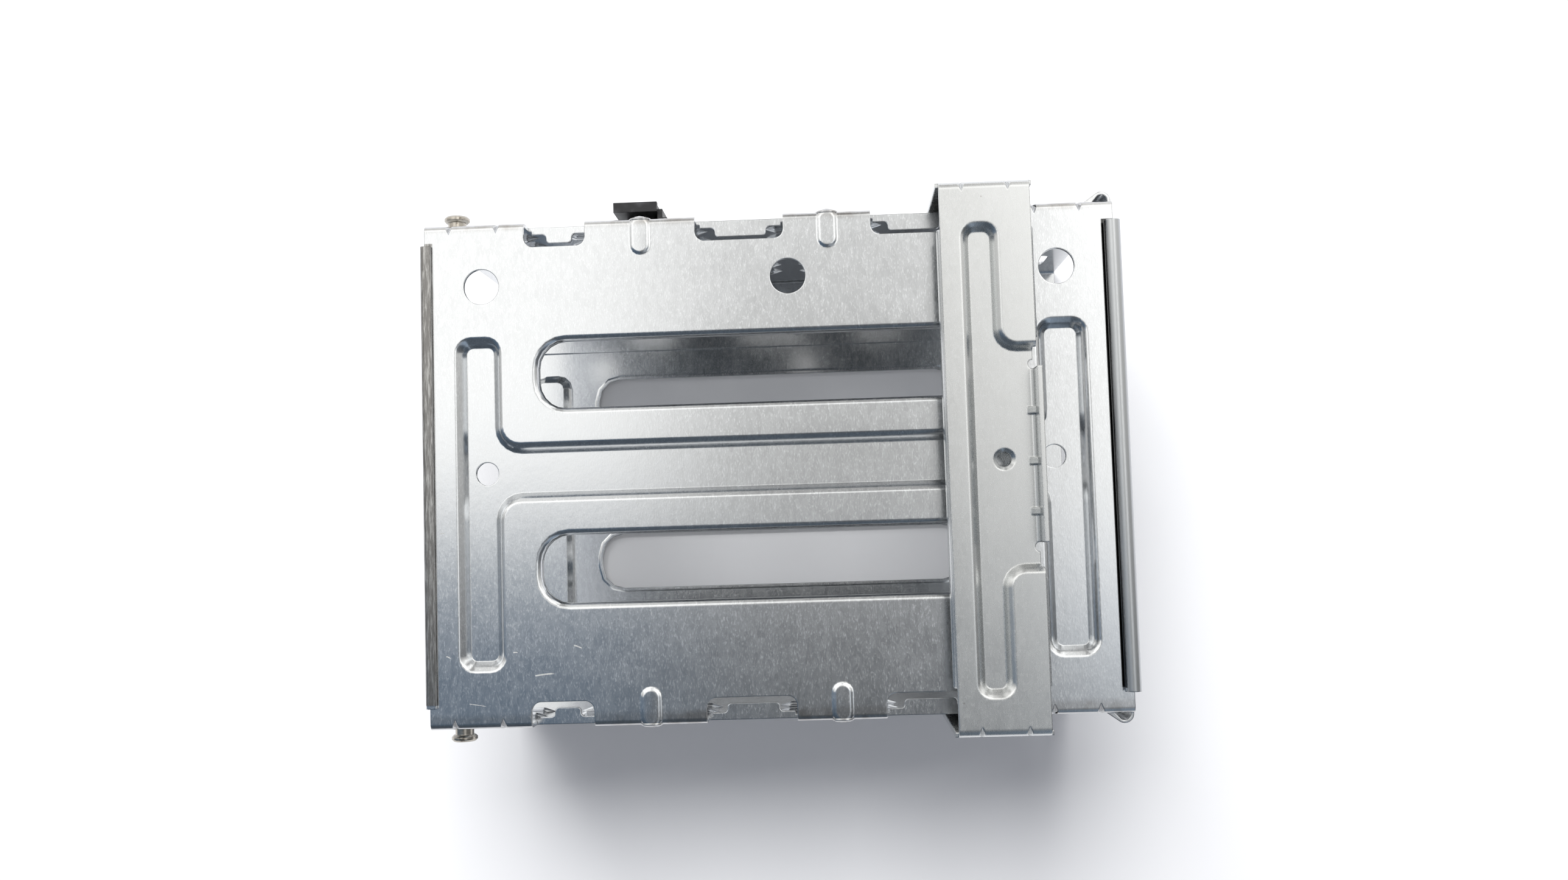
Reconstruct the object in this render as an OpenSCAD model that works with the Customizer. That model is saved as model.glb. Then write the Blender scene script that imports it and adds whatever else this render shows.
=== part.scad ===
// Hard drive tray: a folded steel cage for two 3.5 inch drives, with a bracket crossing over the top.
// X runs along the drives, Y across them, Z up. Z = 0 is the outer face of the bottom plate.
// All lengths are in millimetres.

/* [Cage] */
// length of the cage along the drives
cage_l = 142.4; // [100:0.1:200]
// width over the side walls
cage_w = 104; // [80:0.1:140]
// height over the top and bottom plates
cage_h = 76.2; // [40:0.1:140]
// thickness of the cage sheet
sheet_t = 0.8; // [0.5:0.1:2]
// outer radius of the long bends
bend_r = 1.2; // [1:0.1:4]
// width of the seam flange that lies on the bottom plate
seam_w = 17.6; // [8:0.1:30]
// depth of the round clinch marks in the seam
clinch_depth = 0.5; // [0.2:0.05:0.7]
// radius of the round clinch marks
clinch_r = 1.6; // [1:0.1:3]

/* [Plate holes] */
// radius of the three large access holes
access_r = 3.65; // [2:0.05:8]
// distance of the access holes from the middle line
access_y = 38.8; // [20:0.1:46]
// distance of the left access hole from the left end
access_left = 11.8; // [8:0.1:30]
// position of the middle access hole
access_middle = 4.3; // [-20:0.1:20]
// distance of the right access hole from the right end
access_right = 11.9; // [8:0.1:30]
// radius of the two small holes on the middle line
small_r = 2.35; // [1:0.05:4]
// distance of the left small hole from the left end
small_left = 12.0; // [8:0.1:20]
// distance of the right small hole from the right end
small_right = 13.6; // [8:0.1:20]

/* [Long slots] */
// left end of the slots
slot_left = -47.8; // [-60:0.1:-20]
// right end of the slots
slot_right = 45.2; // [20:0.1:60]
// edge of each slot nearer the middle line
slot_near = 13.1; // [8:0.1:18]
// edge of each slot nearer the wall
slot_far = 27; // [20:0.1:34]
// corner radius of the slots
slot_r = 5.6; // [2:0.1:6.5]
// radius of the rolled slot lip, measured outside
lip_r = 1.3; // [1:0.1:3]
// how deep the slot lip reaches
lip_depth = 2.2; // [1.5:0.1:5]

/* [Recess] */
// depth of the pressed recess
recess_depth = 2.1; // [0.5:0.1:4]
// width of the sloping band round the recess
recess_slope = 2.3; // [1:0.1:5]
// outer radius of the recess corners
recess_r = 3.6; // [2.5:0.1:8]
// radius where the cross bar of the recess meets its ends
recess_fillet = 3.2; // [1:0.1:10]
// half width of the cross bar
recess_bar = 6.4; // [4:0.1:10]
// distance of the recess from the left end
recess_left_in = 5.8; // [3:0.1:12]
// width of the left end of the recess
recess_left_w = 10.3; // [8:0.1:16]
// distance of the recess from the right end
recess_right_in = 5.9; // [3:0.1:12]
// width of the right end of the recess
recess_right_w = 11.1; // [8:0.1:16]
// near and far limits of the recess
recess_y = [-40.8, 28.6];

/* [Notches and ledges] */
// distances of the first notch's two ends from the left end of the plate
notch_1 = [20.8, 33.6];
// left and right limits of the second notch
notch_2 = [-14.7, 3.6];
// left and right limits of the third notch
notch_3 = [21.7, 40.0];
// how far the notches reach in from the wall face
notch_depth = 5.2; // [3:0.1:10]
// corner radius of the notches
notch_r = 2.0; // [0.5:0.1:4]
// depth of the bent ledges below the plate face
ledge_depth = 5.2; // [3:0.1:10]
// width of the ledge shoulders, measured from the wall face
shoulder_w = 1.5; // [1:0.1:4]
// reach of the ledge tabs, measured from the wall face
tab_w = 3.4; // [2:0.1:8]
// gap between a ledge and the end of its notch
ledge_gap = 0.6; // [0.2:0.1:2]
// width of the first ledge tab
tab_1 = 5.4; // [2:0.1:10]
// width of the second and third ledge tabs
tab_2 = 10.8; // [4:0.1:16]
// radius of the curves at the sides of the ledge tabs
tab_r = 0.8; // [0.2:0.1:0.9]

/* [Hems] */
// half length of the hems
hem_half = 47.6; // [20:0.1:50]
// how far the left hem stands out of the end of the plate
hem_left_out = 0.8; // [0.2:0.1:3]
// width of the left hem
hem_left_w = 2.3; // [1.5:0.1:5]
// gap inside the flat left hem
hem_left_gap = 0.2; // [0.1:0.05:1]
// how far the right hem stands out of the end of the plate
hem_right_out = 1.2; // [0.2:0.1:3]
// width of the curled right hem
hem_right_w = 3.4; // [2.4:0.1:5]
// how far the free edge of the curled right hem stops above the middle of the curl
hem_lift = 0.3; // [0:0.1:0.8]

/* [Beads and dents] */
// centres of the raised beads over the far bend
bead_far = [-26.1, 12.7];
// centres of the raised beads over the near bend
bead_near = [-26.0, 12.8];
// width of the raised beads
bead_w = 4.6; // [2:0.1:8]
// length of the raised beads on the plate
bead_l = 7.8; // [4:0.1:15]
// length of the raised beads on the wall
bead_drop = 3.4; // [2:0.1:8]
// height of the raised beads
bead_h = 0.45; // [0.2:0.05:1]
// distances of the two left dents from the left end
dent_left = [5.1, 15.0];
// distances of the two right dents from the right end
dent_right = [16.0, 6.8];
// half width of a bend dent
dent_half = 0.9; // [0.4:0.1:2]
// depth of a bend dent
dent_depth = 1.5; // [0.8:0.1:3]
// wall of sheet kept behind a bend dent
dent_back = 1.3; // [0.6:0.1:3]

/* [Side walls] */
// height of the louvre opening below the top face
louvre_top = 1.6; // [1.3:0.1:4]
// height of the louvres
louvre_h = 10; // [3:0.1:12]
// how far the louvres stand out
louvre_out = 2.2; // [1:0.1:4]
// radius of the louvre crown
louvre_r = 1.9; // [1:0.1:4]
// angle at which the louvre slope meets its crown
louvre_angle = 122; // [95:1:160]
// length of the louvre with its slope
louvre_l = 5.6; // [4:0.1:10]
// sheet thickness left in a louvre
louvre_t = 0.6; // [0.4:0.1:1]
// radius of the guide ribs on the wall
rib_r = 1.2; // [0.8:0.1:3]
// how far the guide ribs stand in
rib_in = 1.0; // [0.5:0.1:2]
// length of the tapered tips of the guide ribs
rib_tip = 2.5; // [1:0.1:5]
// radius at the very end of the rib tips
rib_tip_r = 0.3; // [0.1:0.05:0.8]
// radius of the groove outside each guide rib
groove_r = 0.8; // [0.3:0.05:1.2]
// heights of the guide ribs, measured down from the top face
rib_z = [11.5, 19.7, 51.0, 59.3];
// left and right limits of the ribs in the upper bay
rib_upper = [[-68, -49.6], [-43.6, -34.2], [-20.4, -13.1], [-0.6, 24.3], [36.2, 50]];
// left and right limits of the ribs in the lower bay
rib_lower = [[-46, 1.4], [5.5, 31]];
// distance of the wall windows from the right end
window_in = 4.8; // [2:0.1:20]
// width of the wall windows
window_w = 9.0; // [4:0.1:16]
// heights of the wall windows, measured down from the top face
window_z = [[13, 25], [52.5, 64.5]];
// corner radius of the wall windows
window_r = 1.5; // [0.5:0.1:4]

/* [Cross bracket] */
// thickness of the bracket sheet
strap_t = 1.0; // [0.6:0.1:2]
// height of the bracket's top face above the cage
strap_rise = 9.6; // [4:0.1:20]
// left and right limits of the bracket ends
strap_x = [35.1, 53.1];
// gap between the cage wall and the bracket legs
leg_gap = 1.8; // [0.4:0.1:6]
// outer bend radius at the bracket ends
strap_bend = 1.6; // [1.2:0.1:4]
// left and right limits over the turned edges
edge_x = [34.5, 53.6];
// half length of the turned edges
edge_half = 45.2; // [30:0.1:50]
// height of the turned edges
edge_h = 3.2; // [2:0.1:8]
// bottom of the legs' outer part, measured down from the cage top
leg_low = 34; // [20:0.1:60]
// bottom of the feet, measured down from the cage top
foot_low = 49; // [30:0.1:70]
// height of the joggle between leg and foot
joggle_h = 3; // [1:0.1:8]
// left and right limits of the channel in the bracket
channel_x = [38.8, 46.8];
// near and far limits of the channel
channel_y = [-47.6, 46.7];
// near and far limits of the sunken middle
sunk_y = [-23.4, 22.5];
// depth of the channel and the sunken middle
channel_depth = 1.9; // [0.5:0.1:4]
// width of the channel slope
channel_slope = 1.9; // [0.5:0.1:3]
// corner radius of the channel
channel_r = 3.2; // [2:0.1:6]
// radius where the channel opens into the sunken middle
channel_fillet = 2.6; // [1:0.1:6]
// near and far limits of the upright flange
flange_y = [-17.3, 17.0];
// height of the upright flange above the bracket
flange_h = 3.4; // [1:0.1:10]
// inner bend radius of the upright flange
flange_r = 0.8; // [0.4:0.1:2]
// centres of the gussets along the flange
gusset_y = [8.7, -1.3, -11.2];
// thickness of the gussets along the flange
gusset_w = 1.4; // [0.6:0.1:3]
// height of the gussets above the sunken middle
gusset_h = 1.9; // [0.5:0.1:3]
// width of the dents outside the gussets
gusset_dent_w = 0.8; // [0.3:0.1:2]
// radius of the relief at the two ends of the flange
relief_r = 0.9; // [0.4:0.1:2]
// centres of the dents in the bracket bends
strap_dent_x = [39.6, 48.8];

/* [Tapped hole] */
// centre of the tapped hole
tap_pos = [46.2, -0.8];
// radius of the tapped hole at its minor diameter
tap_r = 1.4; // [1:0.05:3]
// outer radius of the collar
collar_r = 2.4; // [2:0.05:4]
// length of the collar below the sheet
collar_l = 1.4; // [0.5:0.1:4]
// radius of the rolled mouth of the hole
mouth_r = 2.2; // [1.5:0.05:3]
// depth of the rolled mouth
mouth_depth = 0.7; // [0.2:0.1:1.5]

/* [Rivets] */
// radius of the rivet shanks
rivet_r = 1.6; // [1:0.05:3]
// radius of the rivet heads
rivet_head_r = 2.9; // [2:0.05:5]
// height of the rivet heads
rivet_head_h = 0.8; // [0.4:0.1:2]
// clearance round the rivet shanks
rivet_clear = 0.05; // [0:0.01:0.3]
// rivet positions along the cage
rivet_x = [39.0, 49.0];
// rivet height, measured down from the cage top
rivet_down = 43.5; // [38:0.1:60]

/* [Studs] */
// distance of the studs from the left end
stud_in = 5.4; // [3:0.1:20]
// position of the studs below the top face
stud_down = 6; // [4:0.1:30]
// radius of the stud shank in the wall
stud_shank_r = 1.5; // [0.8:0.05:2.5]
// radius of the stud neck
stud_neck_r = 1.9; // [1:0.05:3]
// radius of the stud head
stud_head_r = 2.65; // [2:0.05:5]
// length of the neck outside the wall
stud_neck_l = 1.7; // [0.5:0.1:5]
// thickness of the stud head
stud_head_h = 1.3; // [0.5:0.1:4]
// rounding of the stud head rim
stud_round = 0.4; // [0.1:0.05:0.6]
// radius of the upset end inside the wall
stud_upset_r = 2.5; // [2:0.05:4]
// height of the upset end inside the wall
stud_upset_h = 0.5; // [0.2:0.1:1]
// clearance round the stud in the wall
stud_clear = 0.05; // [0:0.01:0.3]

/* [Latch] */
// left and right limits of the latch lever
latch_x = [-32.1, -22.9];
// top of the lever, measured down from the cage top
latch_top = 4; // [2:0.1:12]
// bottom of the latch, measured down from the cage top
latch_low = 36; // [20:0.1:60]
// thickness of the lever
latch_t = 1.6; // [1:0.1:4]
// outer face of the lever, measured from the wall
latch_out = 3.9; // [2:0.1:8]
// how far the finger lip stands out of the lever
latch_lip = 0.5; // [0.1:0.1:2]
// height of the finger lip
latch_lip_h = 1.6; // [0.5:0.1:4]
// clearance round the latch in the wall
latch_clear = 0.2; // [0.05:0.05:0.6]
// height of the block that joins the lever to the wall
latch_root = 9; // [4:0.1:16]
// how far the snap foot is set in from each side of the lever
snap_inset = 1.2; // [0.5:0.1:3]
// slit between the two snap fingers
snap_slit = 1.4; // [0.6:0.1:3]
// height of the snap foot in the wall
snap_h = 5; // [3:0.1:10]
// how far the snap hooks reach past the window
snap_hook = 0.8; // [0.3:0.1:2]
// thickness of the snap hooks
snap_t = 0.9; // [0.5:0.1:2]
// top of the catch tongue, measured down from the cage top
catch_down = 12.6; // [8:0.1:30]
// height of the catch tongue
catch_h = 5; // [2:0.1:10]
// how far the catch stands inside the wall
catch_in = 1.4; // [0.5:0.1:4]
// width of the catch tongue
catch_w = 6; // [3:0.1:8]
// thickness of the guard rib beside the lever
guard_t = 1.0; // [0.5:0.1:2]
// depth of the guard rib out from the wall
guard_out = 3.1; // [1:0.1:4]
// how far the small guide rail beside the guard rib stands off the wall
rail_out = 1.4; // [0.5:0.1:3]
// height of the guide rail's lower end above the bottom of the latch
rail_rise = 4; // [1:0.1:10]
// how far the guard rib stops below the top of the lever
guard_drop = 1.4; // [0.5:0.1:5]
// how far the guide rail stops below the top of the lever
rail_drop = 2; // [0.5:0.1:5]

/* [Hidden] */
$fn = 48;
eps = 0.02;
half_l = cage_l / 2;
half_w = cage_w / 2;
inner_r = bend_r - sheet_t;
inner_half = half_w - sheet_t;
notches = [[notch_1[0] - half_l, notch_1[1] - half_l], notch_2, notch_3];
tabs = [tab_1, tab_2, tab_2];
strap_z = cage_h + strap_rise;
floor_z = strap_z - channel_depth;
leg_in = half_w + leg_gap;
strap_half = leg_in + strap_t;
foot_out = half_w + strap_t;
snap_z = cage_h - latch_low + 2;
latch_mid = (latch_x[0] + latch_x[1]) / 2;
latch_half = (latch_x[1] - latch_x[0]) / 2;
snap_half = latch_half - snap_inset;
catch_top = cage_h - catch_down;
hem_left_x = -half_l - hem_left_out;
hem_left_edge = hem_left_x + hem_left_w;
hem_right_x = half_l + hem_right_out;
hem_right_edge = hem_right_x - hem_right_w;
recess_left = [recess_left_in - half_l, recess_left_in + recess_left_w - half_l];
recess_right = [half_l - recess_right_in - recess_right_w, half_l - recess_right_in];
access_x = [access_left - half_l, access_middle, half_l - access_right];
dent_x = concat([for (d = dent_left) d - half_l], [for (d = dent_right) half_l - d]);
window_x = [half_l - window_in - window_w, half_l - window_in];
stud_x = stud_in - half_l;
frame_x = (hem_left_x + hem_right_x) / 2;
frame_y = (latch_out + latch_lip - stud_neck_l - stud_head_h) / 2;

// Moves a node so that the middle of the whole object's outline lies over the origin.
module placed() {
    translate([-frame_x, -frame_y, 0]) children();
}

// One rounded corner of an outline: s = 1 for an outside corner, -1 for an inside corner.
function corner(c, r, a, s, n) =
    [for (i = [0:n]) [c[0] + s * r * cos(a + s * 90 * i / n), c[1] + s * r * sin(a + s * 90 * i / n)]];

// Outline of a rounded rectangle, shrunk by o, with n steps in each corner.
function box_ring(x, y, r, o, n) = concat(
    corner([x[1] - r, y[0] + r], r - o, -90, 1, n),
    corner([x[1] - r, y[1] - r], r - o, 0, 1, n),
    corner([x[0] + r, y[1] - r], r - o, 90, 1, n),
    corner([x[0] + r, y[0] + r], r - o, 180, 1, n));

// Outline of the recess: two upright ends joined by a bar, shrunk by o.
function recess_ring(o, n) = concat(
    corner([recess_right[1] - recess_r, recess_y[0] + recess_r], recess_r - o, -90, 1, n),
    corner([recess_right[1] - recess_r, recess_y[1] - recess_r], recess_r - o, 0, 1, n),
    corner([recess_right[0] + recess_r, recess_y[1] - recess_r], recess_r - o, 90, 1, n),
    corner([recess_right[0] - recess_fillet, recess_bar + recess_fillet], recess_fillet + o, 180, -1, n),
    corner([recess_left[1] + recess_fillet, recess_bar + recess_fillet], recess_fillet + o, 90, -1, n),
    corner([recess_left[1] - recess_r, recess_y[1] - recess_r], recess_r - o, 0, 1, n),
    corner([recess_left[0] + recess_r, recess_y[1] - recess_r], recess_r - o, 90, 1, n),
    corner([recess_left[0] + recess_r, recess_y[0] + recess_r], recess_r - o, 180, 1, n),
    corner([recess_left[1] - recess_r, recess_y[0] + recess_r], recess_r - o, -90, 1, n),
    corner([recess_left[1] + recess_fillet, -recess_bar - recess_fillet], recess_fillet + o, 0, -1, n),
    corner([recess_right[0] - recess_fillet, -recess_bar - recess_fillet], recess_fillet + o, -90, -1, n),
    corner([recess_right[0] + recess_r, recess_y[0] + recess_r], recess_r - o, 180, 1, n));

// Outline of the bracket channel with the sunken middle, which runs out past the right edge.
function channel_ring(o, n) = concat(
    corner([channel_x[1] - channel_r, channel_y[0] + channel_r], channel_r - o, -90, 1, n),
    corner([channel_x[1] + channel_fillet, sunk_y[0] - channel_fillet], channel_fillet + o, 0, -1, n),
    [[edge_x[1] + 3, sunk_y[0] + o], [edge_x[1] + 3, sunk_y[1] - o]],
    corner([channel_x[1] + channel_fillet, sunk_y[1] + channel_fillet], channel_fillet + o, 90, -1, n),
    corner([channel_x[1] - channel_r, channel_y[1] - channel_r], channel_r - o, 0, 1, n),
    corner([channel_x[0] + channel_r, channel_y[1] - channel_r], channel_r - o, 90, 1, n),
    [[channel_x[0] + o, sunk_y[1] - o], [channel_x[0] + o, sunk_y[0] + o]],
    corner([channel_x[0] + channel_r, channel_y[0] + channel_r], channel_r - o, 180, 1, n));

// Faces that close an outline of the recess, split into simple patches, n steps a corner.
function recess_caps(n) =
    let (g = n + 1)
    concat(
        [concat([g - 1], [for (i = [g:3 * g]) i])],
        [[3 * g, 11 * g - 1, g - 1]],
        [concat([11 * g - 1], [for (i = [11 * g:12 * g - 1]) i], [for (i = [0:g - 1]) i])],
        [for (i = [0:n - 1]) [3 * g + i, 3 * g + i + 1, 10 * g + n - i - 1, 10 * g + n - i]],
        [[4 * g - 1, 4 * g, 10 * g - 1, 10 * g]],
        [for (i = [0:n - 1]) [4 * g + i, 4 * g + i + 1, 9 * g + n - i - 1, 9 * g + n - i]],
        [[for (i = [5 * g - 1:7 * g]) i]],
        [[5 * g - 1, 7 * g, 9 * g]],
        [concat([9 * g], [for (i = [7 * g:9 * g - 1]) i])]);

// Faces that close an outline of the channel, split in the same way.
function channel_caps(n) =
    let (g = n + 1)
    concat(
        [concat([for (i = [5 * g + 4:6 * g + 3]) i], [for (i = [0:g - 1]) i])],
        [[g - 1, g, 5 * g + 3, 5 * g + 4]],
        [for (i = [0:n - 1]) [g + i, g + i + 1, 5 * g + 3]],
        [[2 * g - 1, 2 * g, 2 * g + 1, 2 * g + 2]],
        [[5 * g + 3, 2 * g - 1, 2 * g + 2, 5 * g + 2]],
        [for (i = [0:n - 1]) [2 * g + 2 + i, 2 * g + 3 + i, 5 * g + 2]],
        [[3 * g + 1, 3 * g + 2, 5 * g + 1, 5 * g + 2]],
        [[for (i = [3 * g + 2:5 * g + 1]) i]]);

// A face with its points in the other order.
function turned(f) = [for (i = [len(f) - 1:-1:0]) f[i]];

// A solid between stacked outlines that all have the same number of points, highest first.
// caps lists the patches that close an outline, or is empty for one plain face.
module loft(rings, heights, caps = []) {
    k = len(rings);
    m = len(rings[0]);
    patches = len(caps) > 0 ? caps : [[for (i = [0:m - 1]) i]];
    points = [for (j = [0:k - 1]) for (p = rings[j]) [p[0], p[1], heights[j]]];
    sides = [for (j = [0:k - 2]) for (i = [0:m - 1])
        for (f = [[j * m + i, (j + 1) * m + i, (j + 1) * m + (i + 1) % m],
                  [j * m + i, (j + 1) * m + (i + 1) % m, j * m + (i + 1) % m]]) turned(f)];
    cap_top = [for (f = patches) turned(f)];
    cap_low = [for (f = patches) [for (i = f) (k - 1) * m + i]];
    polyhedron(points = points, faces = concat(sides, cap_top, cap_low), convexity = 8);
}

// Depth of a pressed slope at fraction u of its width: soft at the rim, crisp at the floor.
function press(u, d) = d * (1 - cos(90 * u));
// Angle of that slope.
function press_angle(u, d, w) = atan(d * sin(90 * u) * PI / 2 / w);

// A box from corner a to corner b.
module block(a, b) {
    translate(a) cube([b[0] - a[0], b[1] - a[1], b[2] - a[2]]);
}

// An upright prism with rounded corners.
module round_block(x, y, z, r) {
    block([x[0] + r, y[0], z[0]], [x[1] - r, y[1], z[1]]);
    block([x[0], y[0] + r, z[0]], [x[1], y[1] - r, z[1]]);
    for (cx = [x[0] + r, x[1] - r])
        for (cy = [y[0] + r, y[1] - r])
            translate([cx, cy, z[0]]) cylinder(r = r, h = z[1] - z[0]);
}

// A window through a wall, seen from the side, with rounded corners.
module wall_window(x, z, r, side) {
    y0 = side > 0 ? half_w - 2 : -half_w - 2;
    translate([0, y0 + 4, 0]) rotate([90, 0, 0]) round_block(x, z, [0, 4], r);
}

// A quarter bend along X between two sheets; ay and az point away from the centre.
module quarter_bend(cy, cz, ay, az, ro, t, x0, x1) {
    intersection() {
        difference() {
            translate([x0, cy, cz]) rotate([0, 90, 0]) cylinder(r = ro, h = x1 - x0);
            translate([x0 - 1, cy, cz]) rotate([0, 90, 0]) cylinder(r = ro - t, h = x1 - x0 + 2);
        }
        block([x0 - 1, min(cy, cy + ay * 2 * ro), min(cz, cz + az * 2 * ro)],
              [x1 + 1, max(cy, cy + ay * 2 * ro), max(cz, cz + az * 2 * ro)]);
    }
}

// The plain folded tube, open at both ends, with the seam flange on the bottom plate.
module tube() {
    edge = half_w - bend_r;
    block([-half_l, -edge, cage_h - sheet_t], [half_l, edge, cage_h]);
    block([-half_l, -edge, 0], [half_l, edge, sheet_t]);
    block([-half_l, -half_w, bend_r], [half_l, -inner_half, cage_h - bend_r]);
    block([-half_l, inner_half, sheet_t + bend_r], [half_l, half_w, cage_h - bend_r]);
    block([-half_l, half_w - seam_w, sheet_t], [half_l, edge, 2 * sheet_t]);
    quarter_bend(-edge, cage_h - bend_r, -1, 1, bend_r, sheet_t, -half_l, half_l);
    quarter_bend(edge, cage_h - bend_r, 1, 1, bend_r, sheet_t, -half_l, half_l);
    quarter_bend(-edge, bend_r, -1, -1, bend_r, sheet_t, -half_l, half_l);
    quarter_bend(edge, sheet_t + bend_r, 1, -1, bend_r, sheet_t, -half_l, half_l);
}

// The sheet behind a pressed recess, reaching below the plate that is pressed from z = 0 down.
module recess_back(n, k) {
    us = [for (j = [0:k]) j / k];
    last = press_angle(1, recess_depth, recess_slope);
    rings = concat(
        [recess_ring(-0.4, n)],
        [for (u = us)
            recess_ring(recess_slope * u - sheet_t * sin(press_angle(u, recess_depth, recess_slope)), n)],
        [recess_ring(recess_slope - sheet_t * tan(last / 2), n)]);
    heights = concat(
        [-sheet_t / 2],
        [for (u = us)
            -press(u, recess_depth) - sheet_t * cos(press_angle(u, recess_depth, recess_slope)) - eps],
        [-recess_depth - sheet_t - 2 * eps]);
    loft(rings, heights, recess_caps(n));
}

// The hollow of a pressed recess, open at z = 0.
module recess_cut(n, k) {
    us = [for (j = [1:k]) j / k];
    loft(concat([recess_ring(-0.05, n)], [for (u = us) recess_ring(recess_slope * u, n)]),
         concat([0.05], [for (u = us) -press(u, recess_depth)]), recess_caps(n));
}

// The rolled lip round a slot, below the plate.
module slot_lip(y, n, k) {
    r_in = lip_r - sheet_t;
    as = [for (j = [0:k]) 90 * j / k];
    x = [slot_left, slot_right];
    loft(concat([box_ring(x, y, slot_r, -lip_r - 0.3, n)],
                [for (a = as) box_ring(x, y, slot_r, -lip_r + r_in * sin(a), n)],
                [box_ring(x, y, slot_r, -sheet_t, n)]),
         concat([-sheet_t / 2], [for (a = as) -lip_r + r_in * cos(a) - eps], [-lip_depth]));
}

// The opening of a slot with its rolled edge.
module slot_cut(y, n, k) {
    as = [for (j = [1:k]) 90 * j / k];
    x = [slot_left, slot_right];
    loft(concat([box_ring(x, y, slot_r, -lip_r - 0.02, n)],
                [for (a = as) box_ring(x, y, slot_r, -lip_r + lip_r * sin(a), n)],
                [box_ring(x, y, slot_r, 0, n)]),
         concat([0.02], [for (a = as) -lip_r + lip_r * cos(a)], [-lip_depth - 1]));
}

// Everything that a plate gains from its pressings; the plate's outer face is z = 0.
module plate_backs(n, k) {
    recess_back(n, k);
    slot_lip([slot_near, slot_far], n, k - 1);
    slot_lip([-slot_far, -slot_near], n, k - 1);
}

// Everything that the pressings take out of a plate.
module plate_cuts(n, k) {
    recess_cut(n, k);
    slot_cut([slot_near, slot_far], n, k - 1);
    slot_cut([-slot_far, -slot_near], n, k - 1);
}

// One notch through plate and wall, at the far side, for a plate whose outer face is z = 0.
module notch_cut(x) {
    round_block(x, [half_w - notch_depth, half_w + 3], [-sheet_t - 1, 1], notch_r);
    block([x[0], inner_half - 0.6, -ledge_depth], [x[1], half_w + 1, 1]);
}

// Outline of a ledge of half width w, with a tab of half width a in its middle.
function ledge_outline(w, a) = concat(
    [[-w, inner_half + 0.3], [-w, half_w - shoulder_w]],
    corner([-a - tab_r, half_w - shoulder_w - tab_r], tab_r, -90, -1, 4),
    corner([-a + tab_r, half_w - tab_w + tab_r], tab_r, 180, 1, 4),
    corner([a - tab_r, half_w - tab_w + tab_r], tab_r, 270, 1, 4),
    corner([a + tab_r, half_w - shoulder_w - tab_r], tab_r, 0, -1, 4),
    [[w, half_w - shoulder_w], [w, inner_half + 0.3]]);

// The ledge bent in below a notch, at the far side.
module ledge(x, tab) {
    translate([(x[0] + x[1]) / 2, 0, -ledge_depth - sheet_t]) linear_extrude(height = sheet_t)
        polygon(ledge_outline((x[1] - x[0]) / 2 - ledge_gap, tab / 2));
}

// A wedge pressed along the corner at y = cy, z = cz, pointing inwards and down.
// Half width a at the corner, depth d, length l.
module wedge(x, cy, cz, a, d, l) {
    q = sqrt(0.5);
    multmatrix([[0, 1, 0, x], [-q, 0, -q, cy], [-q, 0, q, cz]])
        translate([0, 0, -l / 2]) linear_extrude(height = l)
            polygon([[-0.4, -a * (1 + 0.4 / d)], [-0.4, a * (1 + 0.4 / d)], [d, 0]]);
}

// The folded hem on the left edge of the top plate.
module hem_left() {
    r = (hem_left_gap + 2 * sheet_t) / 2;
    cx = hem_left_x + r;
    cz = cage_h - sheet_t + r;
    intersection() {
        union() {
            block([cx, -hem_half, cage_h - sheet_t], [-half_l + 1.5, hem_half, cage_h]);
            block([cx, -hem_half, cz + r - sheet_t], [hem_left_edge, hem_half, cz + r]);
            intersection() {
                difference() {
                    translate([cx, -hem_half, cz]) rotate([-90, 0, 0]) cylinder(r = r, h = 2 * hem_half);
                    translate([cx, -hem_half - 1, cz]) rotate([-90, 0, 0])
                        cylinder(r = r - sheet_t, h = 2 * hem_half + 2);
                }
                block([cx - 3, -hem_half - 1, cz - 3], [cx, hem_half + 1, cz + 3]);
            }
        }
        round_block([hem_left_x - 3, hem_left_edge + 3], [-hem_half, hem_half],
                    [cage_h - 2, cage_h + 6], 0.4);
    }
}

// The curled hem on the right edge of the top plate.
module hem_right() {
    r = (hem_right_x - hem_right_edge) / 2;
    cx = hem_right_x - r;
    cz = cage_h - sheet_t + r;
    block([half_l - 1.5, -hem_half, cage_h - sheet_t], [cx, hem_half, cage_h]);
    difference() {
        translate([cx, -hem_half, cz]) rotate([-90, 0, 0]) cylinder(r = r, h = 2 * hem_half);
        translate([cx, -hem_half - 1, cz]) rotate([-90, 0, 0])
            cylinder(r = r - sheet_t, h = 2 * hem_half + 2);
        block([cx - r - 1, -hem_half - 1, cage_h - sheet_t - 1], [cx, hem_half + 1, cz + hem_lift]);
    }
}

// A raised bead that runs over the far bend; z = 0 is the plate face.
module bead(x) {
    lim = [x - bead_w / 2, x + bead_w / 2];
    rise = [-0.3, 0, 0.6 * bead_h, bead_h];
    drop = [0, 0, 0.45, 1.0];
    loft([for (j = [3:-1:0]) box_ring(lim, [half_w - bead_l, half_w + bead_h], 2.2, drop[j], 4)],
         [for (j = [3:-1:0]) rise[j]]);
    translate([0, half_w, 0]) rotate([-90, 0, 0])
        loft([for (j = [3:-1:0]) box_ring(lim, [-bead_h, bead_drop], 1.6, drop[j], 4)],
             [for (j = [3:-1:0]) rise[j]]);
}

// Plan of a louvre on the far wall, made smaller by o.
function louvre_plan(o) = concat(
    [[half_l - louvre_l + 2 * o, -o]],
    [for (i = [8:-1:0]) [half_l - louvre_r + (louvre_r - o) * cos(louvre_angle * i / 8),
        louvre_out - louvre_r + (louvre_r - o) * sin(louvre_angle * i / 8)]],
    [[half_l - o, -sheet_t - o], [half_l - louvre_l + 2 * o, -sheet_t - o]]);

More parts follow.
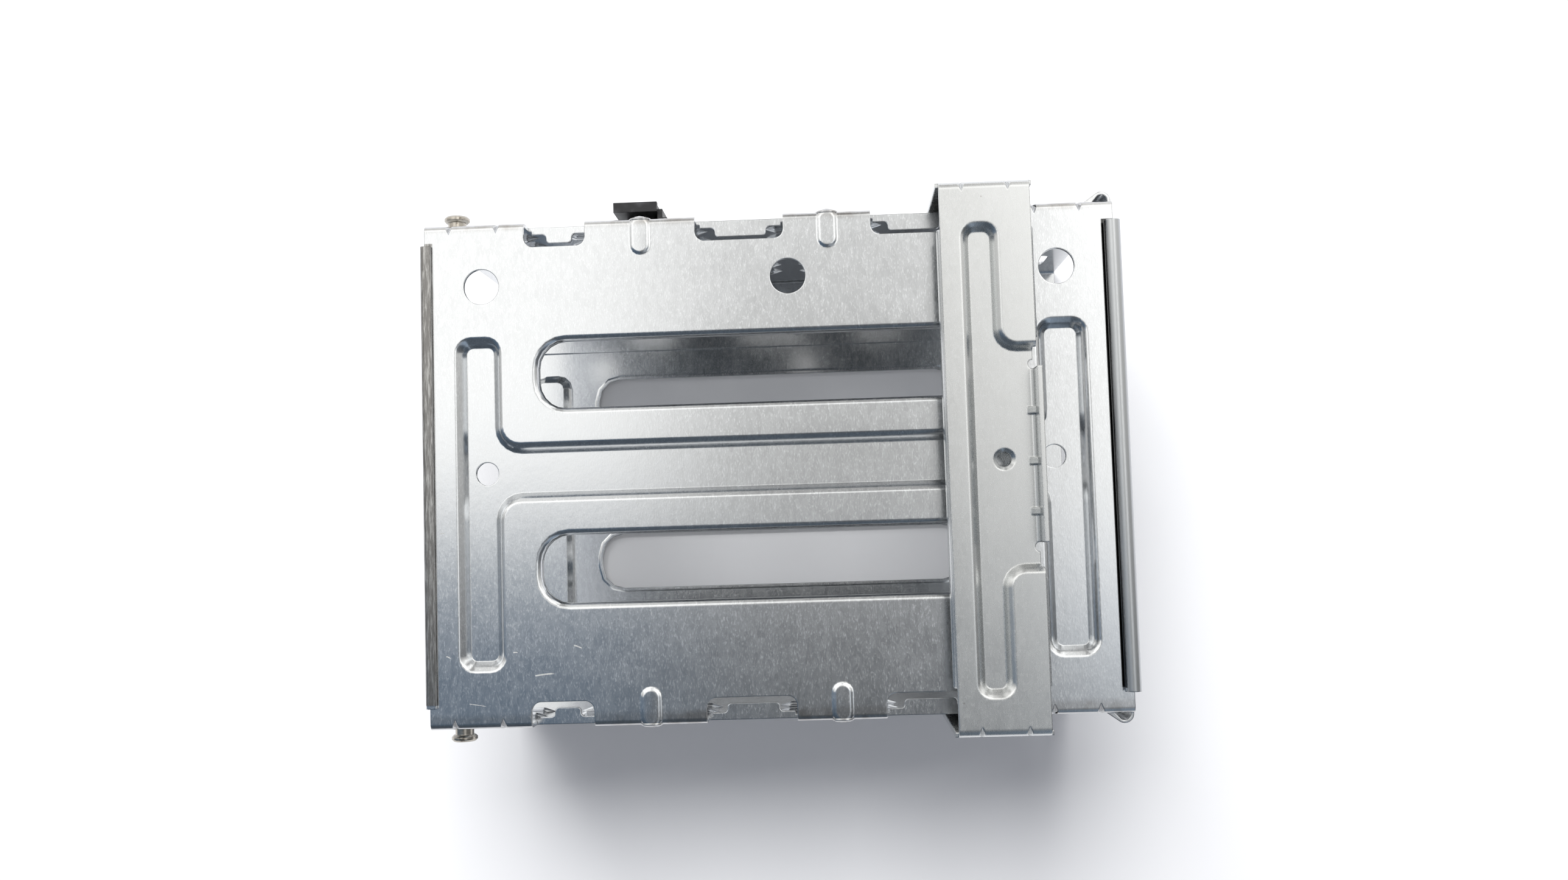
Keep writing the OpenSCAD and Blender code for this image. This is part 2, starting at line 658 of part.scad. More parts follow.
// The louvre on the far wall, or the pocket in it, smaller by o and closed at the bottom.
module louvre(o) {
    translate([0, half_w, cage_h - louvre_top - louvre_h + o])
        linear_extrude(height = louvre_h - o) polygon(louvre_plan(o));
}

// A guide rib on the inside of the far wall.
module guide_rib(x, z) {
    y = inner_half + rib_r - rib_in;
    translate([x[0] + rib_tip, y, z]) rotate([0, 90, 0])
        cylinder(r = rib_r, h = x[1] - x[0] - 2 * rib_tip);
    translate([x[0] + rib_tip, y, z]) rotate([0, -90, 0])
        cylinder(r1 = rib_r, r2 = rib_tip_r, h = rib_tip);
    translate([x[1] - rib_tip, y, z]) rotate([0, 90, 0])
        cylinder(r1 = rib_r, r2 = rib_tip_r, h = rib_tip);
}

// The groove outside a guide rib.
module guide_groove(x, z) {
    translate([x[0] + rib_tip + 0.5, half_w + 0.3, z]) rotate([0, 90, 0])
        cylinder(r = groove_r, h = x[1] - x[0] - 2 * rib_tip - 1);
}

// All guide ribs of the far wall.
module guide_ribs() {
    for (k = [0:3])
        for (x = k < 2 ? rib_upper : rib_lower) guide_rib(x, cage_h - rib_z[k]);
}

// All grooves of the far wall.
module guide_grooves() {
    for (k = [0:3])
        for (x = k < 2 ? rib_upper : rib_lower) guide_groove(x, cage_h - rib_z[k]);
}

// Everything the far wall gains: ledges below the notches, dents' backs, beads, ribs, louvre.
module far_side(beads) {
    guide_ribs();
    louvre(0);
    translate([0, 0, cage_h])
        for (k = [0:2]) ledge(notches[k], tabs[k]);
    for (x = dent_x) {
        intersection() {
            wedge(x, half_w, cage_h, dent_half + 1, dent_depth + dent_back, 6);
            block([x - 3, half_w - 4, cage_h - 4], [x + 3, half_w - 0.5, cage_h - 0.5]);
        }
    }
    translate([0, 0, cage_h])
        for (x = beads) bead(x);
}

// Everything the far wall loses.
module far_side_cuts() {
    guide_grooves();
    difference() {
        louvre(louvre_t);
        block([half_l - louvre_t, 0, 0], [half_l + 1, half_w + louvre_out + 1, cage_h]);
    }
    translate([0, 0, cage_h])
        for (x = notches) notch_cut(x);
    for (x = dent_x) wedge(x, half_w, cage_h, dent_half, dent_depth, 4);
    for (z = window_z)
        wall_window(window_x, [cage_h - z[1], cage_h - z[0]], window_r, 1);
    translate([stud_x, 0, cage_h - stud_down]) rotate([-90, 0, 0])
        cylinder(r = stud_shank_r + stud_clear, h = half_w + 1);
    for (x = rivet_x)
        translate([x, 0, cage_h - rivet_down]) rotate([-90, 0, 0])
            cylinder(r = rivet_r + rivet_clear, h = half_w + 1);
}

// The windows in the far wall that the latch passes through.
module latch_windows() {
    block([latch_mid - catch_w / 2 - latch_clear, half_w - 3, catch_top - catch_h - latch_clear],
          [latch_mid + catch_w / 2 + latch_clear, half_w + 1, catch_top + latch_clear]);
    block([latch_mid - snap_half - latch_clear, half_w - 3, snap_z - latch_clear],
          [latch_mid + snap_half + latch_clear, half_w + 1, snap_z + snap_h + latch_clear]);
}

// The whole folded cage, one sheet.
module cage_shell() {
    color([0.78, 0.79, 0.80]) placed() difference() {
        union() {
            tube();
            hem_left();
            hem_right();
            translate([0, 0, cage_h]) plate_backs(5, 4);
            mirror([0, 0, 1]) plate_backs(3, 3);
            far_side(bead_far);
            mirror([0, 1, 0]) far_side(bead_near);
        }
        translate([0, 0, cage_h]) plate_cuts(5, 4);
        mirror([0, 0, 1]) plate_cuts(3, 3);
        far_side_cuts();
        mirror([0, 1, 0]) far_side_cuts();
        latch_windows();
        for (x = access_x) {
            translate([x, access_y, cage_h - 3]) cylinder(r = access_r, h = 4);
            translate([x, access_y, 2 * sheet_t - clinch_depth]) cylinder(r = clinch_r, h = 2);
        }
        for (x = [small_left - half_l, half_l - small_right])
            translate([x, 0, cage_h - 4]) cylinder(r = small_r, h = 5);
    }
}

// The sheet under the bracket channel, on a top face at z = 0.
module channel_back(n, k) {
    us = [for (j = [0:k]) j / k];
    last = press_angle(1, channel_depth, channel_slope);
    loft(concat([channel_ring(-0.4, n)],
                [for (u = us) channel_ring(
                    channel_slope * u - strap_t * sin(press_angle(u, channel_depth, channel_slope)), n)],
                [channel_ring(channel_slope - strap_t * tan(last / 2), n)]),
         concat([-strap_t / 2],
                [for (u = us) -press(u, channel_depth)
                    - strap_t * cos(press_angle(u, channel_depth, channel_slope)) - eps],
                [-channel_depth - strap_t - 2 * eps]), channel_caps(n));
}

// The hollow of the bracket channel, open at z = 0.
module channel_cut(n, k) {
    us = [for (j = [1:k]) j / k];
    loft(concat([channel_ring(-0.05, n)], [for (u = us) channel_ring(channel_slope * u, n)]),
         concat([0.05], [for (u = us) -press(u, channel_depth)]), channel_caps(n));
}

// A turned-down edge of the bracket from y0 to y1; side is -1 for left and 1 for right.
module turned_edge(y0, y1, side) {
    x = side > 0 ? edge_x[1] : edge_x[0];
    cx = x - side * strap_bend;
    intersection() {
        difference() {
            translate([cx, y0, strap_z - strap_bend]) rotate([-90, 0, 0])
                cylinder(r = strap_bend, h = y1 - y0);
            translate([cx, y0 - 1, strap_z - strap_bend]) rotate([-90, 0, 0])
                cylinder(r = strap_bend - strap_t, h = y1 - y0 + 2);
        }
        block([min(cx, cx + side * 3), y0 - 1, strap_z - strap_bend],
              [max(cx, cx + side * 3), y1 + 1, strap_z + 1]);
    }
    block([min(x, x - side * strap_t), y0, strap_z - edge_h],
          [max(x, x - side * strap_t), y1, strap_z - strap_bend]);
    block([min(cx, cx - side), y0, strap_z - strap_t], [max(cx, cx - side), y1, strap_z]);
}

// One leg of the bracket with its joggle and foot, at the far side.
module leg() {
    z_leg = cage_h - leg_low;
    z_foot = z_leg - joggle_h;
    block([edge_x[0], leg_in, z_leg], [edge_x[1], strap_half, strap_z - strap_bend]);
    translate([edge_x[0], 0, 0]) rotate([90, 0, 90]) linear_extrude(height = edge_x[1] - edge_x[0])
        polygon([[leg_in, z_leg], [strap_half, z_leg], [foot_out, z_foot], [half_w, z_foot]]);
    block([edge_x[0], half_w, cage_h - foot_low], [edge_x[1], foot_out, z_foot]);
}

// The bend at the far end of the bracket, between its two faces.
module strap_end() {
    quarter_bend(strap_half - strap_bend, strap_z - strap_bend, 1, 1, strap_bend, strap_t,
                 strap_x[0], strap_x[1]);
    for (x = strap_dent_x)
        intersection() {
            wedge(x, strap_half, strap_z, dent_half + 1, dent_depth + dent_back, 6);
            block([x - 3, strap_half - 4, strap_z - 4], [x + 3, strap_half - 0.6, strap_z - 0.6]);
        }
    leg();
}

// What the far end of the bracket loses.
module strap_end_cuts() {
    for (x = strap_dent_x) wedge(x, strap_half, strap_z, dent_half, dent_depth, 4);
    for (x = rivet_x)
        translate([x, 0, cage_h - rivet_down]) rotate([-90, 0, 0])
            cylinder(r = rivet_r + rivet_clear, h = strap_half + 1);
}

// The upright flange at the right edge of the sunken middle.
module flange() {
    ro = flange_r + strap_t;
    cx = edge_x[1] - ro;
    cz = floor_z + flange_r;
    len_y = flange_y[1] - flange_y[0];
    block([cx - 1.5, flange_y[0], floor_z - strap_t], [cx, flange_y[1], floor_z]);
    intersection() {
        difference() {
            translate([cx, flange_y[0], cz]) rotate([-90, 0, 0]) cylinder(r = ro, h = len_y);
            translate([cx, flange_y[0] - 1, cz]) rotate([-90, 0, 0]) cylinder(r = flange_r, h = len_y + 2);
        }
        block([cx, flange_y[0] - 1, cz - 3], [cx + 3, flange_y[1] + 1, cz]);
    }
    block([edge_x[1] - strap_t, flange_y[0], cz], [edge_x[1], flange_y[1], strap_z + flange_h]);
    for (y = gusset_y)
        translate([0, y + gusset_w / 2, 0]) rotate([90, 0, 0]) linear_extrude(height = gusset_w)
            polygon([[cx - 0.9, floor_z - 0.2], [edge_x[1] - 0.6, floor_z - 0.2],
                     [edge_x[1] - 0.6, floor_z + gusset_h], [edge_x[1] - strap_t, floor_z + gusset_h]]);
}

// The dents outside the flange gussets and the relief at its two ends.
module flange_cuts() {
    for (y = gusset_y)
        translate([0, y + gusset_dent_w / 2, 0]) rotate([90, 0, 0]) linear_extrude(height = gusset_dent_w)
            polygon([[edge_x[1] - 1.3, floor_z - strap_t - 0.3], [edge_x[1] + 0.3, floor_z - strap_t - 0.3],
                     [edge_x[1] + 0.3, floor_z + 0.5]]);
    for (y = [flange_y[0] - relief_r, flange_y[1] + relief_r])
        translate([strap_x[1] - 0.6, y, floor_z - 2 * strap_t]) cylinder(r = relief_r, h = 4 * strap_t);
}

// The bracket that crosses over the cage, one sheet.
module cross_bracket() {
    flat_half = strap_half - strap_bend;
    color([0.76, 0.78, 0.77]) placed() difference() {
        union() {
            difference() {
                union() {
                    block([strap_x[0], -flat_half, strap_z - strap_t], [strap_x[1], flat_half, strap_z]);
                    turned_edge(-edge_half, edge_half, -1);
                    turned_edge(sunk_y[1] + 0.8, edge_half, 1);
                    turned_edge(-edge_half, sunk_y[0] - 0.8, 1);
                    intersection() {
                        translate([0, 0, strap_z]) channel_back(5, 4);
                        block([strap_x[0], -strap_half, floor_z - 2 * strap_t],
                              [strap_x[1] - 0.6, strap_half, strap_z]);
                    }
                }
                translate([0, 0, strap_z]) channel_cut(5, 4);
            }
            flange();
            strap_end();
            mirror([0, 1, 0]) strap_end();
            translate([tap_pos[0], tap_pos[1], floor_z - strap_t - collar_l])
                cylinder(r = collar_r, h = collar_l + strap_t / 2);
        }
        flange_cuts();
        strap_end_cuts();
        mirror([0, 1, 0]) strap_end_cuts();
        translate([tap_pos[0], tap_pos[1], floor_z - 6]) cylinder(r = tap_r, h = 8);
        translate([tap_pos[0], tap_pos[1], floor_z - mouth_depth])
            cylinder(r1 = tap_r, r2 = tap_r + 2 * (mouth_r - tap_r), h = 2 * mouth_depth);
    }
}

// A guide stud riveted into a wall, pointing along +Y from the far wall.
module stud() {
    y_head = half_w + stud_neck_l;
    translate([stud_x, 0, cage_h - stud_down]) rotate([-90, 0, 0]) {
        translate([0, 0, inner_half - stud_upset_h]) cylinder(r = stud_upset_r, h = stud_upset_h);
        translate([0, 0, inner_half - 0.1]) cylinder(r = stud_shank_r, h = sheet_t + 0.3);
        translate([0, 0, half_w]) cylinder(r = stud_neck_r, h = stud_neck_l + 0.1);
        translate([0, 0, y_head]) cylinder(r1 = stud_head_r - stud_round, r2 = stud_head_r, h = stud_round);
        translate([0, 0, y_head + stud_round]) cylinder(r = stud_head_r, h = stud_head_h - 2 * stud_round);
        translate([0, 0, y_head + stud_head_h - stud_round])
            cylinder(r1 = stud_head_r, r2 = stud_head_r - stud_round, h = stud_round);
    }
}

module stud_far() {
    color([0.80, 0.77, 0.72]) placed() stud();
}

module stud_near() {
    color([0.80, 0.77, 0.72]) placed() mirror([0, 1, 0]) stud();
}

// A rivet through a bracket foot and the far wall.
module rivet(x) {
    translate([x, 0, cage_h - rivet_down]) rotate([-90, 0, 0]) {
        translate([0, 0, inner_half - 0.1]) cylinder(r = rivet_r, h = sheet_t + strap_t + 0.2);
        translate([0, 0, foot_out]) cylinder(r = rivet_head_r, h = rivet_head_h * 0.4);
        translate([0, 0, foot_out + rivet_head_h * 0.4])
            cylinder(r1 = rivet_head_r, r2 = rivet_head_r * 0.6, h = rivet_head_h * 0.6);
        translate([0, 0, inner_half - rivet_head_h * 0.5])
            cylinder(r1 = rivet_head_r * 0.7, r2 = rivet_head_r * 0.8, h = rivet_head_h * 0.5);
    }
}

module rivet_far_left() {
    color([0.72, 0.72, 0.72]) placed() rivet(rivet_x[0]);
}

module rivet_far_right() {
    color([0.72, 0.72, 0.72]) placed() rivet(rivet_x[1]);
}

module rivet_near_left() {
    color([0.72, 0.72, 0.72]) placed() mirror([0, 1, 0]) rivet(rivet_x[0]);
}

module rivet_near_right() {
    color([0.72, 0.72, 0.72]) placed() mirror([0, 1, 0]) rivet(rivet_x[1]);
}

// The black plastic latch on the far wall, one moulding that flexes.
module drive_latch() {
    y_out = half_w + latch_out;
    y_in = y_out - latch_t;
    top = cage_h - latch_top;
    low = cage_h - latch_low;
    finger = (snap_h - snap_slit) / 2;
    hook_y = inner_half - latch_clear;
    color([0.06, 0.06, 0.065]) placed() {
        block([latch_x[0], y_in, low], [latch_x[1], y_out, top]);
        block([latch_x[0], y_in, top - latch_lip_h], [latch_x[1], y_out + latch_lip, top]);
        block([latch_x[0], half_w, low], [latch_x[1], y_in + 0.1, low + latch_root]);
        for (k = [0, 1]) {
            z0 = k == 0 ? snap_z : snap_z + snap_h - finger;
            block([latch_mid - snap_half, hook_y - snap_t, z0],
                  [latch_mid + snap_half, half_w + 0.1, z0 + finger]);
            z1 = k == 0 ? snap_z - snap_hook : snap_z + snap_h - 0.1;
            block([latch_mid - snap_half, hook_y - snap_t, z1],
                  [latch_mid + snap_half, hook_y, z1 + snap_hook + 0.1]);
        }
        translate([latch_mid - catch_w / 2, 0, 0]) rotate([90, 0, 90]) linear_extrude(height = catch_w)
            polygon([[y_in + 0.1, catch_top], [y_in + 0.1, catch_top - catch_h],
                     [inner_half, catch_top - catch_h], [inner_half - catch_in, catch_top - 1.2],
                     [inner_half - catch_in, catch_top]]);
        block([latch_x[1] - 0.1, half_w + 0.3, low],
              [latch_x[1] + guard_t, half_w + guard_out, top - guard_drop]);
        block([latch_x[1] + guard_t - 0.1, half_w, low + rail_rise],
              [latch_x[1] + 2 * guard_t - 0.1, half_w + rail_out, top - rail_drop]);
        block([latch_x[1] - 0.1, half_w, low + rail_rise],
              [latch_x[1] + guard_t, half_w + rail_out, low + latch_root]);
    }
}

cage_shell();
cross_bracket();
stud_far();
stud_near();
rivet_far_left();
rivet_far_right();
rivet_near_left();
rivet_near_right();
drive_latch();
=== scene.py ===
from math import radians

import bmesh
import bpy
from mathutils import Matrix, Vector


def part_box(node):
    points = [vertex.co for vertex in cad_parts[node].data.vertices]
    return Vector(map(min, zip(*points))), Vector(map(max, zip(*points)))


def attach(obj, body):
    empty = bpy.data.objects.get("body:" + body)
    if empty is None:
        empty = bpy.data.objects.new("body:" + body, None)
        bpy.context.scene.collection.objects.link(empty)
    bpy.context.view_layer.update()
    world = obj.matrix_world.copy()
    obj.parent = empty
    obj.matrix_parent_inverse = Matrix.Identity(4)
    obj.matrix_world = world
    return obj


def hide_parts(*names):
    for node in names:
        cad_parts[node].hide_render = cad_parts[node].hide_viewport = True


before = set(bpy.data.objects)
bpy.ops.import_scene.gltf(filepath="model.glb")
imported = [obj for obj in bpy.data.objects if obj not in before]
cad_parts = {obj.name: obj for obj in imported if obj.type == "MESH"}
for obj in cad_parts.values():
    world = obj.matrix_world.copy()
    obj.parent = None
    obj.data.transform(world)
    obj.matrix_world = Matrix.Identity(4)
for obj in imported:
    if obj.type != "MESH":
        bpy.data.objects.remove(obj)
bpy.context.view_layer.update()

# Camera: it hangs about 36 cm over the floor and looks almost straight down on the top plate.
# Its place and turn were solved from the cage's corners, holes and bracket as the photo shows them.
CAMERA_PLACE = (0.01213, -0.01432, 0.35526)
CAMERA_TURN_Z = -0.0329
CAMERA_TURN_X = 0.0652
CAMERA_TURN_Y = 0.0372
FOCAL_PIXELS = 2250.0
PHOTO_WIDTH = 2576.0
SENSOR_WIDTH = 36.0
NEAREST_IN_VIEW = 0.01

camera_data = bpy.data.cameras.new("camera")
camera_data.sensor_width = SENSOR_WIDTH
camera_data.lens = SENSOR_WIDTH * FOCAL_PIXELS / PHOTO_WIDTH
camera_data.clip_start = NEAREST_IN_VIEW
camera = bpy.data.objects.new("camera", camera_data)
camera_turn = (Matrix.Rotation(CAMERA_TURN_Z, 4, "Z") @ Matrix.Rotation(CAMERA_TURN_X, 4, "X")
               @ Matrix.Rotation(CAMERA_TURN_Y, 4, "Y"))
camera.matrix_world = Matrix.Translation(CAMERA_PLACE) @ camera_turn
bpy.context.scene.collection.objects.link(camera)
bpy.context.scene.camera = camera
bpy.context.scene.view_settings.view_transform = "Standard"

# Room: the metal mirrors a pale ceiling and far side, a window to the left, one to the right, and a
# dim bluish near side. All else gets an even light. One wide lamp over the far side throws the
# shadow that falls to the near side.
ROOM_LIGHT = (0.26, 0.27, 0.30, 1.0)
NEAR_TINT = (0.95, 1.00, 1.06, 1.0)
LEFT_TINT = (0.77, 1.08, 1.48, 1.0)
DEEP_TINT = (0.82, 1.00, 1.22, 1.0)
FAR_TINT = (1.01, 1.00, 0.975, 1.0)
NEAR_LEVEL = 0.11
MIDDLE_LEVEL = 0.155
OVERHEAD_GAIN = 0.40
FAR_GAIN = 0.41
GLOW_GAIN = 0.34
GLOW_BEYOND = -1.5
LEFT_GAIN = 0.95
LEFT_FAR_SHARE = 0.6
RIGHT_GAIN = 0.93
RIGHT_NEAR_SHARE = 0.3
# Each pair is a stretch of the mirrored direction's X or Y over which a light or a tint changes.
NEAR_REACH_Y = (-0.60, -0.10)
OVERHEAD_REACH_Y = (-0.095, 0.01)
FAR_REACH_Y = (0.03, 0.32)
GLOW_REACH_Y = (0.25, 0.42)
GLOW_END_Y = (0.72, 0.50)
LEFT_REACH_X = (-0.06, -0.17)
LEFT_END_X = (-0.75, -0.45)
LEFT_REACH_Y = (-0.015, 0.045)
LEFT_FADE_Y = (0.08, 0.20)
RIGHT_REACH_X = (0.11, 0.20)
RIGHT_END_X = (0.62, 0.38)
RIGHT_REACH_Y = (-0.16, -0.06)
LEFT_TINT_REACH_X = (-0.06, -0.20)
DEEP_TINT_REACH_Y = (-0.35, -0.70)
FAR_TINT_REACH_Y = (-0.11, 0.03)
LAMP_PLACE = (-0.17, 1.02, 1.70)
LAMP_SIZE = 1.15
LAMP_POWER = 46.0


def shader(tree, kind, settings=None, inputs=None):
    """Adds a node to a tree, with its settings, and with a value or another node's socket on each input."""
    made = tree.nodes.new(kind)
    for name, value in (settings or {}).items():
        setattr(made, name, value)
    for name, value in (inputs or {}).items():
        if isinstance(value, bpy.types.NodeSocket):
            tree.links.new(value, made.inputs[name])
        else:
            made.inputs[name].default_value = value
    return made


def sums(tree, operation, first, second=0.0, third=0.0):
    """One step of arithmetic in a node tree."""
    inputs = {0: first, 1: second, 2: third}
    return shader(tree, "ShaderNodeMath", {"operation": operation}, inputs).outputs[0]


def product(tree, first, *others):
    """Multiplies values in a node tree."""
    made = first
    for other in others:
        made = sums(tree, "MULTIPLY", made, other)
    return made


def ramp(tree, value, low, high, to_low=0.0, to_high=1.0):
    """Goes smoothly from to_low to to_high while value goes from low to high."""
    inputs = {"Value": value, "From Min": low, "From Max": high, "To Min": to_low, "To Max": to_high}
    made = shader(tree, "ShaderNodeMapRange", {"interpolation_type": "SMOOTHSTEP"}, inputs)
    return made.outputs["Result"]


def blend(tree, factor, first, second):
    """Mixes two colours."""
    inputs = {0: factor, 6: first, 7: second}
    return shader(tree, "ShaderNodeMix", {"data_type": "RGBA"}, inputs).outputs[2]


world = bpy.data.worlds.new("room")
bpy.context.scene.world = world
world.use_nodes = True
world.cycles.sampling_method = "NONE"
sky = world.node_tree
sky.nodes.clear()
towards = shader(sky, "ShaderNodeTexCoord").outputs["Generated"]
way = shader(sky, "ShaderNodeSeparateXYZ", inputs={0: towards})
way_x = way.outputs["X"]
way_y = way.outputs["Y"]
overhead = ramp(sky, way_y, *OVERHEAD_REACH_Y, 0.0, OVERHEAD_GAIN)
far_side = ramp(sky, way_y, *FAR_REACH_Y, 0.0, FAR_GAIN)
far_glow = product(sky, ramp(sky, way_y, *GLOW_REACH_Y, 0.0, GLOW_GAIN),
                   ramp(sky, way_y, *GLOW_END_Y, GLOW_BEYOND, 1.0))
left_window = product(sky, ramp(sky, way_x, *LEFT_REACH_X), ramp(sky, way_x, *LEFT_END_X),
                      ramp(sky, way_y, *LEFT_REACH_Y, 0.0, LEFT_GAIN),
                      ramp(sky, way_y, *LEFT_FADE_Y, 1.0, LEFT_FAR_SHARE))
right_window = product(sky, ramp(sky, way_x, *RIGHT_REACH_X, 0.0, RIGHT_GAIN),
                       ramp(sky, way_x, *RIGHT_END_X),
                       ramp(sky, way_y, *RIGHT_REACH_Y, RIGHT_NEAR_SHARE, 1.0))
level = ramp(sky, way_y, *NEAR_REACH_Y, NEAR_LEVEL, MIDDLE_LEVEL)
for light in (overhead, far_side, far_glow, left_window, right_window):
    level = sums(sky, "ADD", level, light)
tint = blend(sky, ramp(sky, way_x, *LEFT_TINT_REACH_X), NEAR_TINT, LEFT_TINT)
tint = blend(sky, ramp(sky, way_y, *DEEP_TINT_REACH_Y), tint, DEEP_TINT)
tint = blend(sky, ramp(sky, way_y, *FAR_TINT_REACH_Y), tint, FAR_TINT)
mirrored = shader(sky, "ShaderNodeVectorMath", {"operation": "SCALE"}, {0: tint, "Scale": level})
path = shader(sky, "ShaderNodeLightPath")
sky_colour = blend(sky, path.outputs["Is Glossy Ray"], ROOM_LIGHT, mirrored.outputs[0])
sky_shader = shader(sky, "ShaderNodeBackground", inputs={"Color": sky_colour, "Strength": 1.0})
shader(sky, "ShaderNodeOutputWorld", inputs={"Surface": sky_shader.outputs[0]})

lamp_data = bpy.data.lights.new("window_lamp", "AREA")
lamp_data.shape = "SQUARE"
lamp_data.size = LAMP_SIZE
lamp_data.energy = LAMP_POWER
lamp = bpy.data.objects.new("window_lamp", lamp_data)
lamp.visible_glossy = False
lamp.location = LAMP_PLACE
lamp.rotation_euler = (-lamp.location).to_track_quat("-Z", "Y").to_euler()
bpy.context.scene.collection.objects.link(lamp)

# Floor: a plain white sheet that the cage stands on. It stays white where no shadow falls, for the
# camera and in the metal alike.
FLOOR_HALF = 2.0
FLOOR_COLOUR = (0.90, 0.90, 0.905, 1.0)
FLOOR_LIFT = 0.05


def bare_material(name):
    """A new material with an empty node tree."""
    made = bpy.data.materials.new(name)
    made.use_nodes = True
    made.node_tree.nodes.clear()
    return made


floor_mesh = bmesh.new()
bmesh.ops.create_grid(floor_mesh, x_segments=2, y_segments=2, size=FLOOR_HALF)
floor_data = bpy.data.meshes.new("floor")
floor_mesh.to_mesh(floor_data)
floor_mesh.free()
floor = bpy.data.objects.new("floor", floor_data)
bpy.context.scene.collection.objects.link(floor)
floor_paint = bare_material("floor_white")
tree = floor_paint.node_tree
path = shader(tree, "ShaderNodeLightPath")
seen = sums(tree, "MAXIMUM", path.outputs["Is Camera Ray"], path.outputs["Is Glossy Ray"])
matt = shader(tree, "ShaderNodeBsdfDiffuse", inputs={"Color": FLOOR_COLOUR})
lift = shader(tree, "ShaderNodeEmission",
              inputs={"Color": FLOOR_COLOUR, "Strength": product(tree, seen, FLOOR_LIFT)})
floor_sum = shader(tree, "ShaderNodeAddShader", inputs={0: matt.outputs[0], 1: lift.outputs[0]})
shader(tree, "ShaderNodeOutputMaterial", inputs={"Surface": floor_sum.outputs[0]})
floor.data.materials.append(floor_paint)

# Cage: one sheet of 0.8 mm steel, hot-dip galvanised before it was cut, pressed and folded.
# The zinc has fine pale flecks drawn out across the drives, a dirty left hem and a few scratches near the
# left end of the plate. The top bends get painted shade in patches, mixed with scuffs, and the gap under the
# right curl gets painted shade.
MERGE_DISTANCE = 0.000001
FLAT_ANGLE = radians(0.2)
SHARP_ANGLE = radians(32.0)
FLAT_FACE_WEIGHT = 100
EDGE_SAMPLES = 6
ZINC_COLOUR = (0.70, 0.715, 0.73, 1.0)
FLECK_STRETCH = (1.0, 0.36, 1.0)
FLECK_SCALE = 3600.0
PALE_FLECK = (0.50, 0.72)
SPANGLE_SCALE = 1500.0
SPANGLE_SHARE = 0.5
FLECK_MEAN = 0.35
CLOUD_SCALE = 130.0
CLOUD_MEAN = 0.5
MOTTLE_SCALE = 620.0
MOTTLE_HEIGHT = 1.8
GRAIN_SCALE = 9000.0
GRAIN_HEIGHT = 0.35
FLECK_ROUGHNESS = 0.05
CLOUD_ROUGHNESS = 0.07
SCUFF_AND_SHADE_COLOUR = (0.30, 0.27, 0.24, 1.0)
SHADE_AND_SCUFF_SCALE = 190.0
SHADE_AND_SCUFF_PATCHES = (0.50, 0.68)
SHADE_AND_SCUFF_SHARE = (0.28, 0.60)
HEM_DIRT = (0.22, 0.213, 0.205, 1.0)
HEM_WORN = (0.50, 0.495, 0.482, 1.0)
HEM_ROUGHNESS = 0.12
SMEAR_STRETCH = (1.0, 0.09, 1.0)
SMEAR_SCALE = 2400.0
SMEAR_WORN = (0.43, 0.66)
SMEAR_HEIGHT = 6.0
CURL_COLOUR = (0.55, 0.565, 0.575, 1.0)
CURL_ROUGHNESS = 0.14
GAP_PAINTED_SHADE = (0.06, 0.06, 0.06, 1.0)
SCRATCH_COLOUR = (0.95, 0.95, 0.93, 1.0)
SCRATCH_ROUGHNESS = 0.55
SCRATCH_BOW = 1.6
SCRATCH_WIDTH = (0.9, 0.2)
SCRATCH_START = (0.0, 0.12)
SCRATCH_END = (1.0, 0.8)
SCRATCH_GAP_SCALE = 2600.0
SCRATCH_GAPS = (0.36, 0.50)
SCRATCH_GAP_SHARE = (0.35, 1.0)
CAGE_EDGE_RADIUS = 0.00032
CAGE_RELIEF = 0.000003
cage_low, cage_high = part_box("cage_shell")
LEFT_END = cage_low.x
RIGHT_END = cage_high.x
WALL_FACE = 0.0520
PLATE_TOP = 0.0762
# Each pair is a stretch over which a mark grows from nothing to full: along the cage (X), to either
# side of its middle (Y) or in height (Z).
PLATE_Z = (PLATE_TOP - 0.0027, PLATE_TOP - 0.0023)
BEND_Y = (WALL_FACE - 0.0028, WALL_FACE - 0.0012)
BEND_Z = (PLATE_TOP - 0.0027, PLATE_TOP - 0.0007)
HEM_X = (LEFT_END + 0.0027, LEFT_END + 0.0022)
HEM_Y = (WALL_FACE - 0.0042, WALL_FACE - 0.0046)
HEM_Z = (PLATE_TOP - 0.0004, PLATE_TOP - 0.0001)
CURL_X = (RIGHT_END - 0.0032, RIGHT_END - 0.0028)
CURL_Z = (PLATE_TOP + 0.0008, PLATE_TOP + 0.0011)
# The gap is the dark space below the curl's middle, and the flank is the curl's side above that. Both get
# painted shade, nearly black.
GAP_X = (RIGHT_END - 0.0038, RIGHT_END - 0.0035)
GAP_END_X = (RIGHT_END - 0.0006, RIGHT_END - 0.0008)
GAP_Y = (WALL_FACE - 0.0044, WALL_FACE - 0.0046)
GAP_Z = (PLATE_TOP - 0.0005, PLATE_TOP - 0.0003)
GAP_TOP_Z = (PLATE_TOP + 0.0011, PLATE_TOP + 0.0008)
FLANK_X = (RIGHT_END - 0.0038, RIGHT_END - 0.0036)
FLANK_END_X = (RIGHT_END - 0.0028, RIGHT_END - 0.0032)
FLANK_Z = (PLATE_TOP + 0.0007, PLATE_TOP + 0.0011)
# Each scratch: its start along and across the cage, its turn in degrees, its length and its width.
SCRATCHES = (
    (-0.0499, -0.0422, 10.0, 0.0043, 0.00022),
    (-0.0418, -0.0362, -12.7, 0.0019, 0.00018),
    (-0.0542, -0.0374, 14.0, 0.0010, 0.00016),
    (-0.0680, -0.0378, -8.5, 0.0010, 0.00018),
    (-0.0690, -0.0128, 18.4, 0.0011, 0.00016),
    (-0.0635, -0.0475, -7.0, 0.0038, 0.00010),
)


